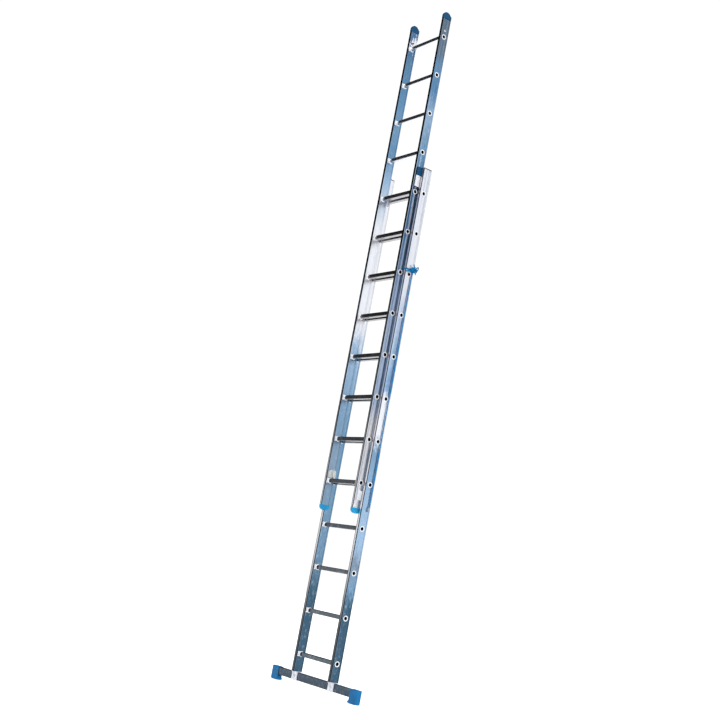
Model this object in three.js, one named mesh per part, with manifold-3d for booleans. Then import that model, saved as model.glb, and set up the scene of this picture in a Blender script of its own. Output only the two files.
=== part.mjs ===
// Two-section extension ladder, standing upright: the base section with its stabiliser bar, and the
// fly section in front of it, raised four rungs. Millimetres. +X runs along the rungs to the
// climber's right, +Y points back towards the wall, and +Z runs up along the stiles.
// The origin is on the floor, under the middle of the ladder's box.
import * as THREE from "three";
import { mergeVertices } from "three/addons/utils/BufferGeometryUtils.js";
import Module from "manifold-3d";

const wasm = await Module();
wasm.setup();

// ---- Driving dimensions ----
const GAP = 0.3; // between pieces that touch
const PAST = 1; // how far a cutting solid runs past what it cuts, and joined solids into each other
const RUNGS = 12; // in each section
const PITCH = 280; // from rung to rung
const FIRST_RUNG = 200; // height of the lowest base rung's centre
const RAISED_RUNGS = 4; // rungs by which the fly is drawn out
const FLY_SEAT = 3; // the fly's rungs stand this far above the base's

const STILE_DEEP = 66.5; // front to back, the same in both sections
const BASE_HALF = 215; // centre line to the base stiles' outer faces
const BASE_WIDE = 23; // a base stile, left to right
const FLY_HALF = 183;
const FLY_WIDE = 17;
const NESTING = 49; // front of the fly to front of the base
const STILE_FOOT = 88; // floor to the base stiles' lower ends
const BASE_HEAD = 170; // top base rung to the stiles' upper ends
const FLY_HEAD = 149;
const FLY_TAIL = 175; // lowest fly rung down to the stiles' lower ends

const CAP_PROUD = 0.8; // how far the end caps stand out from the stiles
const CAP_SKIRT = 17; // how far a top cap comes down over its stile
const CAP_DOME = 30; // its height above the stile
const SHOE_SKIRT = 14;
const SHOE_DOME = 21;
const LID_THICK = 4.5; // the flat caps of the base stiles
const LID_PLUG = 20;

const LIP_DEEP = 7; // the raised bands along each edge of a stile's side faces
const LIP_PROUD = 2;
const WALL = 1.8;

const RUNG_SIDE = 27; // the square tube between the stiles
const RUNG_CHAMFER = 5;
const SHANK_R = 12.7; // the round stretch that passes through a stile
const BORE_R = 11;
const RING_R = 18; // the flared end that holds the rung in the stile
const RING_THICK = 2;

const BAR_HALF = 470.7;
const BAR_BOTTOM = 34;
const BAR_TALL = 50;
const BAR_FRONT = 18;
const BAR_DEEP = 30;
const BAR_CHAMFER = 3;
const BAR_WALL = 2;

const FOOT_OUT = 475;
const FOOT_IN = 400;
const FOOT_WALL = 2.5;
const SOLE_TOE = 11; // the sole's point, inwards of the cup
const SOLE_TALL = 20;

const BRACKET_THICK = 3.2;
const BRACKET_PLUG = 42; // how far it goes up into the stile
const EAR = 9; // the points on the sides of its cheeks
const BOLT_R = 3.8;
const BOLT_HOLE_R = 4.1;
const BOLT_HEAD_R = 7.5;
const BOLT_HEAD_THICK = 4.5;

const GUIDE_FRONT = -45;
const GUIDE_BACK = 5.5;
const GUIDE_RISE = 38; // top base rung to the bright guide plate
const GUIDE_TALL = 76.5;
const SHOE_DROP = 110; // lowest fly rung down to the lower end of the fly's guide shoe
const SHOE_TALL = 60;
const RUNNING = 1.6; // side clearance between the sections' guides and stiles

const LATCH_Y = -2; // the catches' pivots, between the fly's rungs and the base's
const LATCH_DROP = 10; // from the pivot to the face that lies on a rung
const LATCH_BEAK = 20; // from the pivot to the beak's tip
const LATCH_REACH = 49;
const LATCH_HUB_R = 9;
const LATCH_THICK = 5.9;
const LATCH_SWING = 110; // degrees, from lying on a rung to swung up clear
const PLATE_THICK = 2.5;
const PIN_R = 4;
const PIN_HOLE_R = 4.3;
const PIN_HEAD_R = 7.5;
const PIN_SIDES = 16;

const ROPE_R = 3.8;
const ROPE_X = 145;
const PULLEY_PITCH_R = 25; // wheel centre to the middle of the rope
const PULLEY_R = 29;
const PULLEY_HALF_WIDE = 6.5;
const PULLEY_RISE = 48; // above the top base rung's centre
const CHEEK_THICK = 2.5;
const STRAP_THICK = 2.8;
const ANCHOR_RISE = 18; // the eye's top above the lowest fly rung's centre
const TAIL_X = BASE_HALF + 5.5;
const TAIL_Y = 44;
const KNOT_Z = 2745;
const KNOT_R = 14;
const CLEAT_Z = [1150, 1178];

// ---- Places worked out from them ----
const DEPTH_HALF = (STILE_DEEP + NESTING) / 2;
const FLY_FRONT = -DEPTH_HALF;
const FLY_BACK = FLY_FRONT + STILE_DEEP;
const BASE_BACK = DEPTH_HALF;
const BASE_FRONT = BASE_BACK - STILE_DEEP;
const FLY_RUNG_Y = (FLY_FRONT + FLY_BACK) / 2;
const BASE_RUNG_Y = (BASE_FRONT + BASE_BACK) / 2;
const FLY_FIRST = FIRST_RUNG + RAISED_RUNGS * PITCH + FLY_SEAT;
const BASE_LAST = FIRST_RUNG + (RUNGS - 1) * PITCH;
const FLY_LAST = FLY_FIRST + (RUNGS - 1) * PITCH;
const BASE_TOP = BASE_LAST + BASE_HEAD;
const FLY_BOTTOM = FLY_FIRST - FLY_TAIL;
const FLY_TOP = FLY_LAST + FLY_HEAD;
const BAR_TOP = BAR_BOTTOM + BAR_TALL;
const BAR_BACK = BAR_FRONT + BAR_DEEP;
const BASE_IN = BASE_HALF - BASE_WIDE;
const FLY_IN = FLY_HALF - FLY_WIDE;
const PULLEY_Y = BASE_RUNG_Y;
const PULLEY_Z = BASE_LAST + PULLEY_RISE;
const HAUL_Y = PULLEY_Y - PULLEY_PITCH_R;
const FALL_Y = PULLEY_Y + PULLEY_PITCH_R;
const BOLT_Z = BAR_BOTTOM + BAR_TALL / 2;
const BRACKET_X = (BASE_IN + BASE_HALF) / 2; // the middle of a base stile
const CAP_X = [FLY_IN - CAP_PROUD, FLY_HALF + CAP_PROUD];
const CAP_Y = [FLY_FRONT - CAP_PROUD, FLY_BACK + CAP_PROUD];
const LATCH_Z = FIRST_RUNG + RAISED_RUNGS * PITCH + RUNG_SIDE / 2 + GAP + LATCH_DROP;
const PLATE_X = [FLY_IN - GAP - PLATE_THICK, FLY_IN - GAP];
const LATCH_X = [PLATE_X[0] - GAP - LATCH_THICK, PLATE_X[0] - GAP];

// ---- Materials ----
function finish(color, roughness, metalness) {
  return () => new THREE.MeshStandardMaterial({ color, roughness, metalness });
}

const aluminium = finish(0x9fb2c4, 0.38, 0.85);
const ribbed = finish(0x7d8790, 0.45, 0.8);
const barMetal = finish(0x59636e, 0.45, 0.75);
const castMetal = finish(0xd9dde2, 0.4, 0.8);
const steel = finish(0xaab0b6, 0.35, 0.9);
const brightBlue = finish(0x0a70c0, 0.45, 0);
const skyBlue = finish(0x2c96d2, 0.45, 0);
const darkBlue = finish(0x123a66, 0.5, 0);
const darkPlastic = finish(0x20242a, 0.55, 0);
const ropeBlue = finish(0x215f86, 0.85, 0);

// ---- Solids ----
// A closed three.js geometry as a solid that can be joined and cut.
function solidOf(geometry) {
  const bare = geometry.index ? geometry.toNonIndexed() : geometry.clone();
  bare.deleteAttribute("normal");
  bare.deleteAttribute("uv");
  const merged = mergeVertices(bare, 1e-4);
  return new wasm.Manifold(
    new wasm.Mesh({
      numProp: 3,
      vertProperties: new Float32Array(merged.attributes.position.array),
      triVerts: new Uint32Array(merged.index.array),
    }),
  );
}

function geometryOf(solid) {
  const mesh = solid.getMesh();
  const geometry = new THREE.BufferGeometry();
  geometry.setAttribute("position", new THREE.BufferAttribute(mesh.vertProperties, 3));
  geometry.setIndex(new THREE.BufferAttribute(mesh.triVerts, 1));
  geometry.computeVertexNormals();
  return geometry;
}

function join(...solids) {
  return solids.reduce((sum, solid) => sum.add(solid));
}

function cut(solid, ...tools) {
  return tools.reduce((rest, tool) => rest.subtract(tool), solid);
}

function box([x0, x1], [y0, y1], [z0, z1]) {
  const geometry = new THREE.BoxGeometry(x1 - x0, y1 - y0, z1 - z0);
  geometry.translate((x0 + x1) / 2, (y0 + y1) / 2, (z0 + z1) / 2);
  return solidOf(geometry);
}

function outline(points) {
  return new THREE.Shape(points.map(([a, b]) => new THREE.Vector2(a, b)));
}

function extrude(points, length) {
  return new THREE.ExtrudeGeometry(outline(points), { depth: length, bevelEnabled: false });
}

// An outline in Y and Z, run along X.
function prismX(points, [x0, x1]) {
  const geometry = extrude(points, x1 - x0);
  const turn = new THREE.Matrix4().makeBasis(
    new THREE.Vector3(0, 1, 0),
    new THREE.Vector3(0, 0, 1),
    new THREE.Vector3(1, 0, 0),
  );
  geometry.applyMatrix4(turn).translate(x0, 0, 0);
  return solidOf(geometry);
}

// An outline in X and Z, run along Y.
function prismY(points, [y0, y1]) {
  const geometry = extrude(points, y1 - y0);
  geometry.rotateX(Math.PI / 2).translate(0, y1, 0);
  return solidOf(geometry);
}

// An outline in X and Y, run along Z.
function prismZ(points, [z0, z1]) {
  return solidOf(extrude(points, z1 - z0).translate(0, 0, z0));
}

// A cylinder along X, with a flat side down when its count of sides is even.
function rodX(radius, [x0, x1], y, z, sides = 8) {
  const geometry = new THREE.CylinderGeometry(radius, radius, x1 - x0, sides);
  geometry.rotateY(Math.PI / sides).rotateZ(Math.PI / 2).translate((x0 + x1) / 2, y, z);
  return solidOf(geometry);
}

function rodY(radius, [y0, y1], x, z, sides = 8) {
  const geometry = new THREE.CylinderGeometry(radius, radius, y1 - y0, sides);
  geometry.rotateY(Math.PI / sides).translate(x, (y0 + y1) / 2, z);
  return solidOf(geometry);
}

function rodZ(radius, [z0, z1], x, y, sides = 8) {
  const geometry = new THREE.CylinderGeometry(radius, radius, z1 - z0, sides);
  geometry.rotateX(Math.PI / 2).translate(x, y, (z0 + z1) / 2);
  return solidOf(geometry);
}

function rectangle([a0, a1], [b0, b1], chamfer = 0) {
  if (chamfer === 0) return [[a0, b0], [a1, b0], [a1, b1], [a0, b1]];
  return [
    [a0 + chamfer, b0], [a1 - chamfer, b0], [a1, b0 + chamfer], [a1, b1 - chamfer],
    [a1 - chamfer, b1], [a0 + chamfer, b1], [a0, b1 - chamfer], [a0, b0 + chamfer],
  ];
}

function arc(centreA, centreB, radius, fromDeg, toDeg, steps) {
  return Array.from({ length: steps + 1 }, (_, i) => {
    const angle = THREE.MathUtils.degToRad(fromDeg + ((toDeg - fromDeg) * i) / steps);
    return [centreA + radius * Math.cos(angle), centreB + radius * Math.sin(angle)];
  });
}

// Points turned about the origin, then moved to the place given.
function turned(points, degrees, placeA, placeB) {
  const angle = THREE.MathUtils.degToRad(degrees);
  const origin = new THREE.Vector2();
  const turnedPoints = points.map(([a, b]) => new THREE.Vector2(a, b).rotateAround(origin, angle));
  return turnedPoints.map((point) => [placeA + point.x, placeB + point.y]);
}

// A cord: a round section run along a smooth curve through the points.
function cord(points, steps) {
  const curve = new THREE.CatmullRomCurve3(points.map((p) => new THREE.Vector3(...p)));
  const section = outline(arc(0, 0, ROPE_R, 0, 315, 7));
  return solidOf(
    new THREE.ExtrudeGeometry(section, { steps, extrudePath: curve, bevelEnabled: false }),
  );
}

// ---- Stiles and rungs ----
// A stile's outline: a box section whose edges stand proud of its two side faces.
function stileOutline(inner, outer, front, grow = 0) {
  const back = front + STILE_DEEP + grow;
  const face = front - grow;
  const low = inner - grow;
  const high = outer + grow;
  return [
    [low, face], [high, face], [high, front + LIP_DEEP + grow],
    [high - LIP_PROUD, front + LIP_DEEP + grow], [high - LIP_PROUD, back - LIP_DEEP - 2 * grow],
    [high, back - LIP_DEEP - 2 * grow], [high, back], [low, back],
    [low, back - LIP_DEEP - 2 * grow], [low + LIP_PROUD, back - LIP_DEEP - 2 * grow],
    [low + LIP_PROUD, front + LIP_DEEP + grow], [low, front + LIP_DEEP + grow],
  ];
}

// The hollow inside a stile, smaller all round by margin.
function stileHollow(inner, outer, front, margin = 0) {
  const side = LIP_PROUD + WALL + margin;
  const edge = WALL + margin;
  return rectangle([inner + side, outer - side], [front + edge, front + STILE_DEEP - edge]);
}

function stile({ inner, outer, front, bottom, top, rungY, firstRung }) {
  const tube = cut(
    prismZ(stileOutline(inner, outer, front), [bottom, top]),
    prismZ(stileHollow(inner, outer, front), [bottom - PAST, top + PAST]),
  );
  const holes = Array.from({ length: RUNGS }, (_, i) =>
    rodX(SHANK_R + GAP, [inner - PAST, outer + PAST], rungY, firstRung + i * PITCH),
  );
  return cut(tube, ...holes);
}

// A rung: a square tube between the stiles, round where it passes through them, with flared ends.
function rung(inner, outer, y, z) {
  const half = RUNG_SIDE / 2;
  const ringBack = outer - LIP_PROUD + GAP;
  const end = ringBack + RING_THICK;
  const square = rectangle([y - half, y + half], [z - half, z + half], RUNG_CHAMFER);
  const middle = inner + LIP_PROUD - GAP;
  return cut(
    join(
      rodX(SHANK_R, [-end, end], y, z),
      prismX(square, [-middle, middle]),
      rodX(RING_R, [ringBack, end], y, z, 12),
      rodX(RING_R, [-end, -ringBack], y, z, 12),
    ),
    rodX(BORE_R, [-end - PAST, end + PAST], y, z),
  );
}

// ---- Base section ----
function baseStile() {
  return stile({
    inner: BASE_IN,
    outer: BASE_HALF,
    front: BASE_FRONT,
    bottom: STILE_FOOT,
    top: BASE_TOP,
    rungY: BASE_RUNG_Y,
    firstRung: FIRST_RUNG,
  });
}

function baseTopCap() {
  const plate = rectangle(
    [BASE_IN + GAP, BASE_HALF + CAP_PROUD],
    [BASE_FRONT - CAP_PROUD, BASE_BACK + CAP_PROUD],
    3,
  );
  const plug = stileHollow(BASE_IN, BASE_HALF, BASE_FRONT, GAP);
  return join(
    prismZ(plate, [BASE_TOP + GAP, BASE_TOP + LID_THICK]),
    prismZ(plug, [BASE_TOP - LID_PLUG, BASE_TOP + PAST]),
  );
}

function barOutline(grow = 0) {
  return rectangle(
    [BAR_FRONT - grow, BAR_BACK + grow],
    [BAR_BOTTOM - grow, BAR_TOP + grow],
    BAR_CHAMFER,
  );
}

function stabiliserBar() {
  const bolts = [-BRACKET_X, BRACKET_X].map((x) =>
    rodY(BOLT_HOLE_R, [BAR_FRONT - PAST, BAR_BACK + PAST], x, BOLT_Z),
  );
  return cut(
    prismX(barOutline(), [-BAR_HALF, BAR_HALF]),
    prismX(barOutline(-BAR_WALL), [-BAR_HALF - PAST, BAR_HALF + PAST]),
    ...bolts,
  );
}

// The cast saddle that holds the bar under a stile: cheeks in front of and behind the bar with a
// pointed ear on each side, a bridge below it, and a plug that goes up into the stile.
function barBracket() {
  const seat = BAR_TOP + GAP;
  const head = STILE_FOOT - GAP;
  const foot = BAR_BOTTOM - GAP - BRACKET_THICK;
  const waist = [BASE_IN + 1, BASE_HALF - 1];
  const heel = [BASE_IN + 3, BASE_HALF - 3];
  const cheek = [
    [heel[0], foot], [heel[1], foot], [waist[1], BOLT_Z - EAR], [BASE_HALF + EAR, BOLT_Z],
    [waist[1], BOLT_Z + EAR], [BASE_HALF, head], [BASE_IN, head], [waist[0], BOLT_Z + EAR],
    [BASE_IN - EAR, BOLT_Z], [waist[0], BOLT_Z - EAR],
  ];
  const plug = stileHollow(BASE_IN, BASE_HALF, BASE_FRONT, GAP);
  const front = BAR_FRONT - GAP;
  const back = BAR_BACK + GAP;
  const outFront = front - BRACKET_THICK;
  const outBack = back + BRACKET_THICK;
  return cut(
    join(
      prismY(cheek, [outFront, front]),
      prismY(cheek, [back, outBack]),
      box(heel, [front - PAST, back + PAST], [foot, foot + BRACKET_THICK]),
      box([BASE_IN, BASE_HALF], [BASE_FRONT, BASE_BACK], [seat, head]),
      prismZ(plug, [head - PAST, head + BRACKET_PLUG]),
    ),
    rodY(BOLT_HOLE_R, [outFront - PAST, outBack + PAST], BRACKET_X, BOLT_Z),
  );
}

function barBolt() {
  const front = BAR_FRONT - 2 * GAP - BRACKET_THICK;
  const back = BAR_BACK + 2 * GAP + BRACKET_THICK;
  return join(
    rodY(BOLT_R, [front - PAST, back + PAST], BRACKET_X, BOLT_Z),
    rodY(BOLT_HEAD_R, [front - BOLT_HEAD_THICK, front], BRACKET_X, BOLT_Z, 6),
    rodY(BOLT_HEAD_R, [back, back + BOLT_HEAD_THICK], BRACKET_X, BOLT_Z, 6),
  );
}

// A moulded cup over the bar's end, with a sole below it that points inwards at the floor.
function foot() {
  const top = BAR_TOP + FOOT_WALL;
  const side = [
    [FOOT_IN, SOLE_TALL], [FOOT_IN - SOLE_TOE, 9], [FOOT_IN - 8, 4], [FOOT_IN + 8, 0],
    [FOOT_OUT - 12, 0], [FOOT_OUT - 2, 4], [FOOT_OUT, 10], [FOOT_OUT, top], [FOOT_IN, top],
  ];
  const cup = prismY(side, [BAR_FRONT - FOOT_WALL, BAR_BACK + FOOT_WALL]);
  return cut(cup, prismX(barOutline(GAP), [FOOT_IN - SOLE_TOE - PAST, BAR_HALF + GAP]));
}

// ---- Guides between the sections ----
// The plate on a base stile whose toe runs in the fly stile's side face, ahead of its back lip.
function guidePlate() {
  const outer = BASE_IN - GAP;
  const inner = FLY_HALF + RUNNING;
  const toe = FLY_HALF - LIP_PROUD + 2 * GAP;
  const lip = FLY_BACK - LIP_DEEP; // the front of the back lip
  const shape = [
    [inner, GUIDE_FRONT], [outer, GUIDE_FRONT], [outer, GUIDE_BACK], [inner, GUIDE_BACK],
    [inner, lip - 2 * GAP], [toe, lip - 2 * GAP], [toe, lip - LIP_DEEP], [inner, lip - LIP_DEEP],
  ];
  return prismZ(shape, [BASE_LAST + GUIDE_RISE, BASE_LAST + GUIDE_RISE + GUIDE_TALL]);
}

// The moulded block above that plate, at the top of the base section.
function topGuide() {
  const shape = rectangle([FLY_HALF + RUNNING, BASE_IN - GAP], [GUIDE_FRONT, FLY_BACK], 2);
  return prismZ(shape, [BASE_LAST + GUIDE_RISE + GUIDE_TALL + GAP, BASE_TOP + LID_THICK]);
}

// The shoe at the bottom of the fly whose toe runs behind the base stile's front lip.
function flyGuide() {
  const web = FLY_HALF - LIP_PROUD + GAP;
  const outer = BASE_IN - GAP;
  const lip = BASE_FRONT + LIP_DEEP; // the back of the front lip
  const shape = [
    [web, -40], [FLY_HALF + 5, -40], [outer, -30], [outer, lip + 2 * GAP],
    [BASE_IN + RUNNING, lip + 2 * GAP], [BASE_IN + RUNNING, GUIDE_BACK],
    [FLY_HALF + GAP, GUIDE_BACK], [FLY_HALF + GAP, FLY_BACK - LIP_DEEP - GAP],
    [web, FLY_BACK - LIP_DEEP - GAP],
  ];
  return prismZ(shape, [FLY_FIRST - SHOE_DROP, FLY_FIRST - SHOE_DROP + SHOE_TALL]);
}

// ---- Fly section ----
function flyStile() {
  return stile({
    inner: FLY_IN,
    outer: FLY_HALF,
    front: FLY_FRONT,
    bottom: FLY_BOTTOM,
    top: FLY_TOP,
    rungY: FLY_RUNG_Y,
    firstRung: FLY_FIRST,
  });
}

// The space a cap leaves for the end of the stile it covers.
function stileRoom(z) {
  return prismZ(stileOutline(FLY_IN, FLY_HALF, FLY_FRONT, GAP), z);
}

// A dome that is highest near the front and slopes down to the back.
function flyTopCap() {
  const [front, back] = CAP_Y;
  const hem = FLY_TOP - CAP_SKIRT;
  const peak = FLY_TOP + CAP_DOME;
  const side = [
    [front, hem], [back, hem], [back, FLY_TOP + 6], [front + 44, peak - 3],
    [front + 34, peak - 0.4], [front + 26, peak], [front + 18, peak - 1], [front + 9, peak - 6],
    [front + 2, peak - 15], [front, FLY_TOP + 6],
  ];
  return cut(prismX(side, CAP_X), stileRoom([hem - PAST, FLY_TOP + GAP]));
}

// A boat-shaped shoe over the stile's lower end.
function flyBottomCap() {
  const [front, back] = CAP_Y;
  const hem = FLY_BOTTOM + SHOE_SKIRT;
  const sole = FLY_BOTTOM - SHOE_DOME;
  const side = [
    [front, hem], [front, FLY_BOTTOM - 2], [front + 4, sole + 11], [front + 13, sole + 3.5],
    [front + 25, sole], [back - 25, sole], [back - 13, sole + 3.5], [back - 4, sole + 11],
    [back, FLY_BOTTOM - 2], [back, hem],
  ];
  return cut(prismX(side, CAP_X), stileRoom([FLY_BOTTOM - GAP, hem + PAST]));
}

// ---- Catches: on the lowest fly rung's stiles, to lie over a base rung ----
// The outline of a catch that lies over a rung, about its pivot, swung up clear as it is stored.
function latchHook() {
  const behind = BASE_RUNG_Y + RUNG_SIDE / 2 + GAP - LATCH_Y;
  const lying = [
    ...arc(0, 0, LATCH_HUB_R, 80, 270, 8),
    [14, -LATCH_DROP], [behind, -LATCH_DROP], [behind, -LATCH_BEAK], [behind + 6, -LATCH_BEAK],
    [LATCH_REACH, -8], [LATCH_REACH - 3, 4], [30, LATCH_HUB_R],
  ];
  const hole = rodX(
    PIN_HOLE_R, [LATCH_X[0] - PAST, LATCH_X[1] + PAST], LATCH_Y, LATCH_Z, PIN_SIDES,
  );
  return cut(prismX(turned(lying, LATCH_SWING, LATCH_Y, LATCH_Z), LATCH_X), hole);
}

// The plate riveted to the fly stile, with the catch's pin and the lug that the catch leans on.
function latchPlate() {
  const z = (height) => FLY_FIRST + height;
  const face = PLATE_X[0];
  const side = [
    [-50, z(20)], [-6, z(20)], [-4.5, z(11)], [8, z(11)], [10, z(22)], [10, z(60)], [3, z(71)],
    [-30, z(71)], [-50, z(62)],
  ];
  const rivets = [z(32), z(54)].flatMap((height) => [
    rodX(3, [face + PAST, FLY_IN + LIP_PROUD - GAP], -38, height),
    rodX(5, [face - PAST, face + PAST], -38, height),
  ]);
  return join(
    prismX(side, PLATE_X),
    box([LATCH_X[0] + PAST, face + PAST], [-27, -22], [z(51), z(59)]),
    rodX(PIN_R, [LATCH_X[0] - PAST, face + PAST], LATCH_Y, LATCH_Z, PIN_SIDES),
    rodX(PIN_HEAD_R, [LATCH_X[0] - GAP - 2, LATCH_X[0] - GAP], LATCH_Y, LATCH_Z, 12),
    ...rivets,
  );
}

// ---- Rope gear ----
function squareCollar(y, z, thick) {
  const inside = RUNG_SIDE / 2 + GAP;
  const outside = inside + thick;
  return [
    rectangle([y - outside, y + outside], [z - outside, z + outside], RUNG_CHAMFER),
    rectangle([y - inside, y + inside], [z - inside, z + inside], RUNG_CHAMFER),
  ];
}

// A square strap round the top base rung, with two cheeks that carry the pulley's pin above it.
function pulleyBracket() {
  const [outside, inside] = squareCollar(BASE_RUNG_Y, BASE_LAST, STRAP_THICK);
  const cheekIn = PULLEY_HALF_WIDE + 1;
  const cheekOut = cheekIn + CHEEK_THICK;
  const through = [ROPE_X - cheekOut - PAST, ROPE_X + cheekOut + PAST];
  const cheekFoot = BASE_LAST + RUNG_SIDE / 2 + GAP + PAST;
  const cheek = [
    [PULLEY_Y - 11, cheekFoot], [PULLEY_Y + 11, cheekFoot],
    ...arc(PULLEY_Y, PULLEY_Z, 10, 0, 180, 6),
  ];
  return cut(
    join(
      prismX(outside, [ROPE_X - cheekOut, ROPE_X + cheekOut]),
      prismX(cheek, [ROPE_X - cheekOut, ROPE_X - cheekIn]),
      prismX(cheek, [ROPE_X + cheekIn, ROPE_X + cheekOut]),
    ),
    prismX(inside, through),
    rodX(PIN_HOLE_R, through, PULLEY_Y, PULLEY_Z),
  );
}

function pulleyPin() {
  const reach = PULLEY_HALF_WIDE + 1 + CHEEK_THICK + GAP;
  const end = reach + 2.5;
  return join(
    rodX(PIN_R, [ROPE_X - reach - PAST, ROPE_X + reach + PAST], PULLEY_Y, PULLEY_Z),
    rodX(PIN_HEAD_R, [ROPE_X - end, ROPE_X - reach], PULLEY_Y, PULLEY_Z, 12),
    rodX(PIN_HEAD_R, [ROPE_X + reach, ROPE_X + end], PULLEY_Y, PULLEY_Z, 12),
  );
}

// A grooved wheel, turned about X.
function pulleyWheel() {
  const groove = PULLEY_PITCH_R - ROPE_R - 4 * GAP;
  const rim = ROPE_R + 3 * GAP;
  const profile = [
    [PIN_HOLE_R, -PULLEY_HALF_WIDE], [PULLEY_R, -PULLEY_HALF_WIDE], [PULLEY_R, -rim],
    [groove + 2, -rim], [groove, -2], [groove, 2], [groove + 2, rim], [PULLEY_R, rim],
    [PULLEY_R, PULLEY_HALF_WIDE], [PIN_HOLE_R, PULLEY_HALF_WIDE],
    [PIN_HOLE_R, -PULLEY_HALF_WIDE],
  ].map(([radius, along]) => new THREE.Vector2(radius, along));
  const wheel = new THREE.LatheGeometry(profile, 20);
  wheel.rotateZ(-Math.PI / 2).translate(ROPE_X, PULLEY_Y, PULLEY_Z);
  return solidOf(wheel);
}

// A square strap round the lowest fly rung with the eye that the rope starts from.
function ropeAnchor() {
  const [outside, inside] = squareCollar(FLY_RUNG_Y, FLY_FIRST, STRAP_THICK);
  const eyeFront = FLY_RUNG_Y + RUNG_SIDE / 2 + GAP + PAST;
  const eye = box(
    [ROPE_X - 5, ROPE_X + 5],
    [eyeFront, HAUL_Y + 5],
    [FLY_FIRST - 8, FLY_FIRST + ANCHOR_RISE],
  );
  return cut(
    join(prismX(outside, [ROPE_X - 8, ROPE_X + 8]), eye),
    prismX(inside, [ROPE_X - 8 - PAST, ROPE_X + 8 + PAST]),
  );
}

// From the fly's anchor straight up to the front of the pulley.
function ropeHaul() {
  return rodZ(ROPE_R, [FLY_FIRST + ANCHOR_RISE + GAP, PULLEY_Z - 2], ROPE_X, HAUL_Y);
}

// Over the pulley, down behind the base rungs, and out behind the right-hand stile to the knot.
function ropeFall() {
  const over = arc(PULLEY_Y, PULLEY_Z + GAP, PULLEY_PITCH_R, 180, 0, 8).map(([y, z]) => [
    ROPE_X, y, z,
  ]);
  const down = [3180, 3060, 2950].map((z) => [ROPE_X, FALL_Y, z]);
  const out = [
    [150, 56, 2880], [168, 66, 2820], [195, 69, 2775], [214, 69, 2757],
  ];
  return cord([...over, ...down, ...out], 64);
}

// Down the outer face of the right-hand stile, from the knot to the cleat.
function ropeTail() {
  return rodZ(ROPE_R, [CLEAT_Z[1] + GAP, KNOT_Z - KNOT_R - GAP], TAIL_X, TAIL_Y);
}

// A turn of rope round the right-hand stile and the lump of the knot on its outer face.
function ropeKnot() {
  const turn = 2 * ROPE_R;
  const inside = rectangle(
    [BASE_IN - GAP, BASE_HALF + GAP],
    [BASE_FRONT - GAP, BASE_BACK + GAP],
  );
  const outside = rectangle(
    [BASE_IN - GAP - turn, BASE_HALF + GAP + turn],
    [BASE_FRONT - GAP - turn, BASE_BACK + GAP + turn],
    3,
  );
  const lump = new THREE.SphereGeometry(KNOT_R, 12, 8);
  lump.translate(BASE_HALF + KNOT_R + PAST, TAIL_Y, KNOT_Z);
  return join(
    cut(
      prismZ(outside, [KNOT_Z - ROPE_R, KNOT_Z + ROPE_R]),
      prismZ(inside, [KNOT_Z - ROPE_R - PAST, KNOT_Z + ROPE_R + PAST]),
    ),
    solidOf(lump),
  );
}

// The cleat on the stile's outer face that holds the rope's end.
function ropeCleat() {
  const side = rectangle([TAIL_Y - 9, TAIL_Y + 6], CLEAT_Z, 4);
  return prismX(side, [BASE_HALF - LIP_PROUD + GAP, TAIL_X + 5.5]);
}

// ---- The ladder ----
const ladder = new THREE.Group();
const base = new THREE.Group();
const fly = new THREE.Group();
ladder.add(base, fly);

function put(section, name, solid, material) {
  const mesh = new THREE.Mesh(geometryOf(solid), material());
  mesh.name = name;
  section.add(mesh);
  return mesh;
}

// A piece for the right-hand side and its mirror image for the left.
function putPair(section, name, solid, material) {
  put(section, `${name}_right`, solid, material);
  put(section, `${name}_left`, solid, material).scale.x = -1;
}

function putRungs(section, name, inner, outer, y, first) {
  for (let i = 0; i < RUNGS; i += 1) {
    const number = String(i + 1).padStart(2, "0");
    put(section, `${name}_${number}`, rung(inner, outer, y, first + i * PITCH), ribbed);
  }
}

putPair(base, "base_stile", baseStile(), aluminium);
putRungs(base, "base_rung", BASE_IN, BASE_HALF, BASE_RUNG_Y, FIRST_RUNG);
putPair(base, "base_top_cap", baseTopCap(), darkPlastic);
put(base, "stabiliser_bar", stabiliserBar(), barMetal);
putPair(base, "bar_bracket", barBracket(), castMetal);
putPair(base, "bar_bolt", barBolt(), steel);
putPair(base, "foot", foot(), brightBlue);
putPair(base, "guide_plate", guidePlate(), castMetal);
putPair(base, "top_guide", topGuide(), darkBlue);
put(base, "pulley_bracket", pulleyBracket(), steel);
put(base, "pulley_pin", pulleyPin(), steel);
put(base, "pulley_wheel", pulleyWheel(), darkPlastic);
put(base, "rope_fall", ropeFall(), ropeBlue);
put(base, "rope_knot", ropeKnot(), ropeBlue);
put(base, "rope_tail", ropeTail(), ropeBlue);
put(base, "rope_cleat", ropeCleat(), darkPlastic);

putPair(fly, "fly_stile", flyStile(), aluminium);
putRungs(fly, "fly_rung", FLY_IN, FLY_HALF, FLY_RUNG_Y, FLY_FIRST);
putPair(fly, "fly_top_cap", flyTopCap(), darkBlue);
putPair(fly, "fly_bottom_cap", flyBottomCap(), skyBlue);
putPair(fly, "fly_guide", flyGuide(), darkPlastic);
putPair(fly, "latch_hook", latchHook(), steel);
putPair(fly, "latch_plate", latchPlate(), steel);
put(fly, "rope_anchor", ropeAnchor(), steel);
put(fly, "rope_haul", ropeHaul(), ropeBlue);

export default ladder;
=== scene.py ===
"""Looks of the extension ladder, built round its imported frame. Metres, +X along the rungs to the
climber's right, +Y back towards the wall, +Z up along the stiles. The lean is in the camera."""

import math

import bmesh
import bpy
from mathutils import Matrix, Vector


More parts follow.
